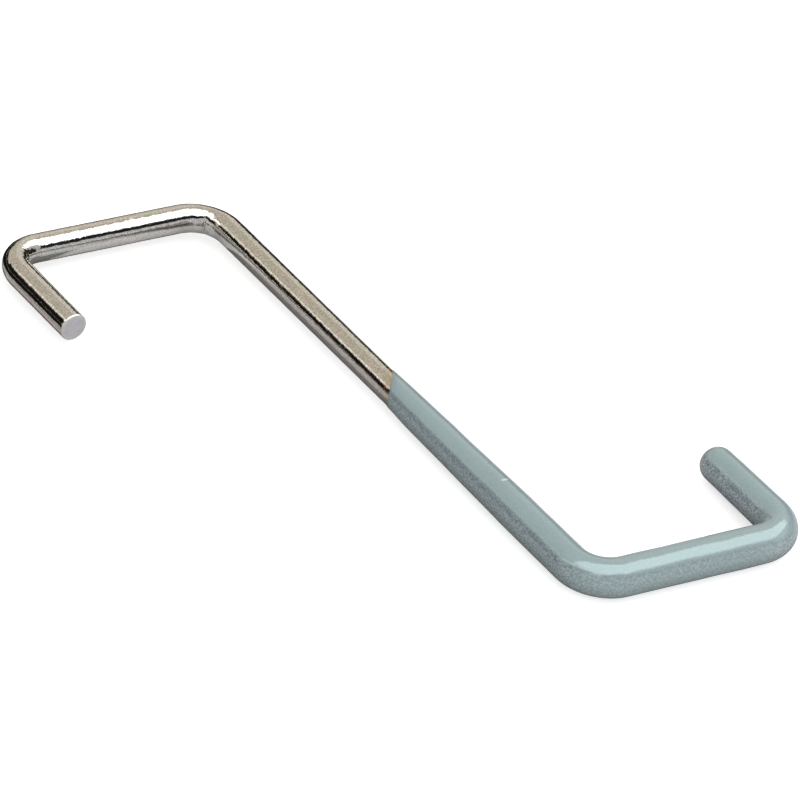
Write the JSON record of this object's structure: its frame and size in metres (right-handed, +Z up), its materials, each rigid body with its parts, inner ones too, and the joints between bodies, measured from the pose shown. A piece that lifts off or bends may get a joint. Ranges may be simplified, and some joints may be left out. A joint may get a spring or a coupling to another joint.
{
  "type": "double-ended square hook",
  "caption": "Bent round steel bar in a square S with a hook at each end, bright-plated on one half and dip-coated in grey-green vinyl on the other.",
  "frame": {"origin": "middle of the whole hook's footprint, on the flat surface it lies on", "axes": "+X along the shank from the plain hook to the coated one, +Y from the plain hook's leg to the shank, +Z up"},
  "size_m": [0.2518, 0.1776, 0.0136],
  "materials": {
    "plated_steel": "polished",
    "grey_vinyl": "satin"
  },
  "bodies": {
    "root": {"bent_bar": "plated_steel", "vinyl_coat": "grey_vinyl"}
  },
  "joints": []
}
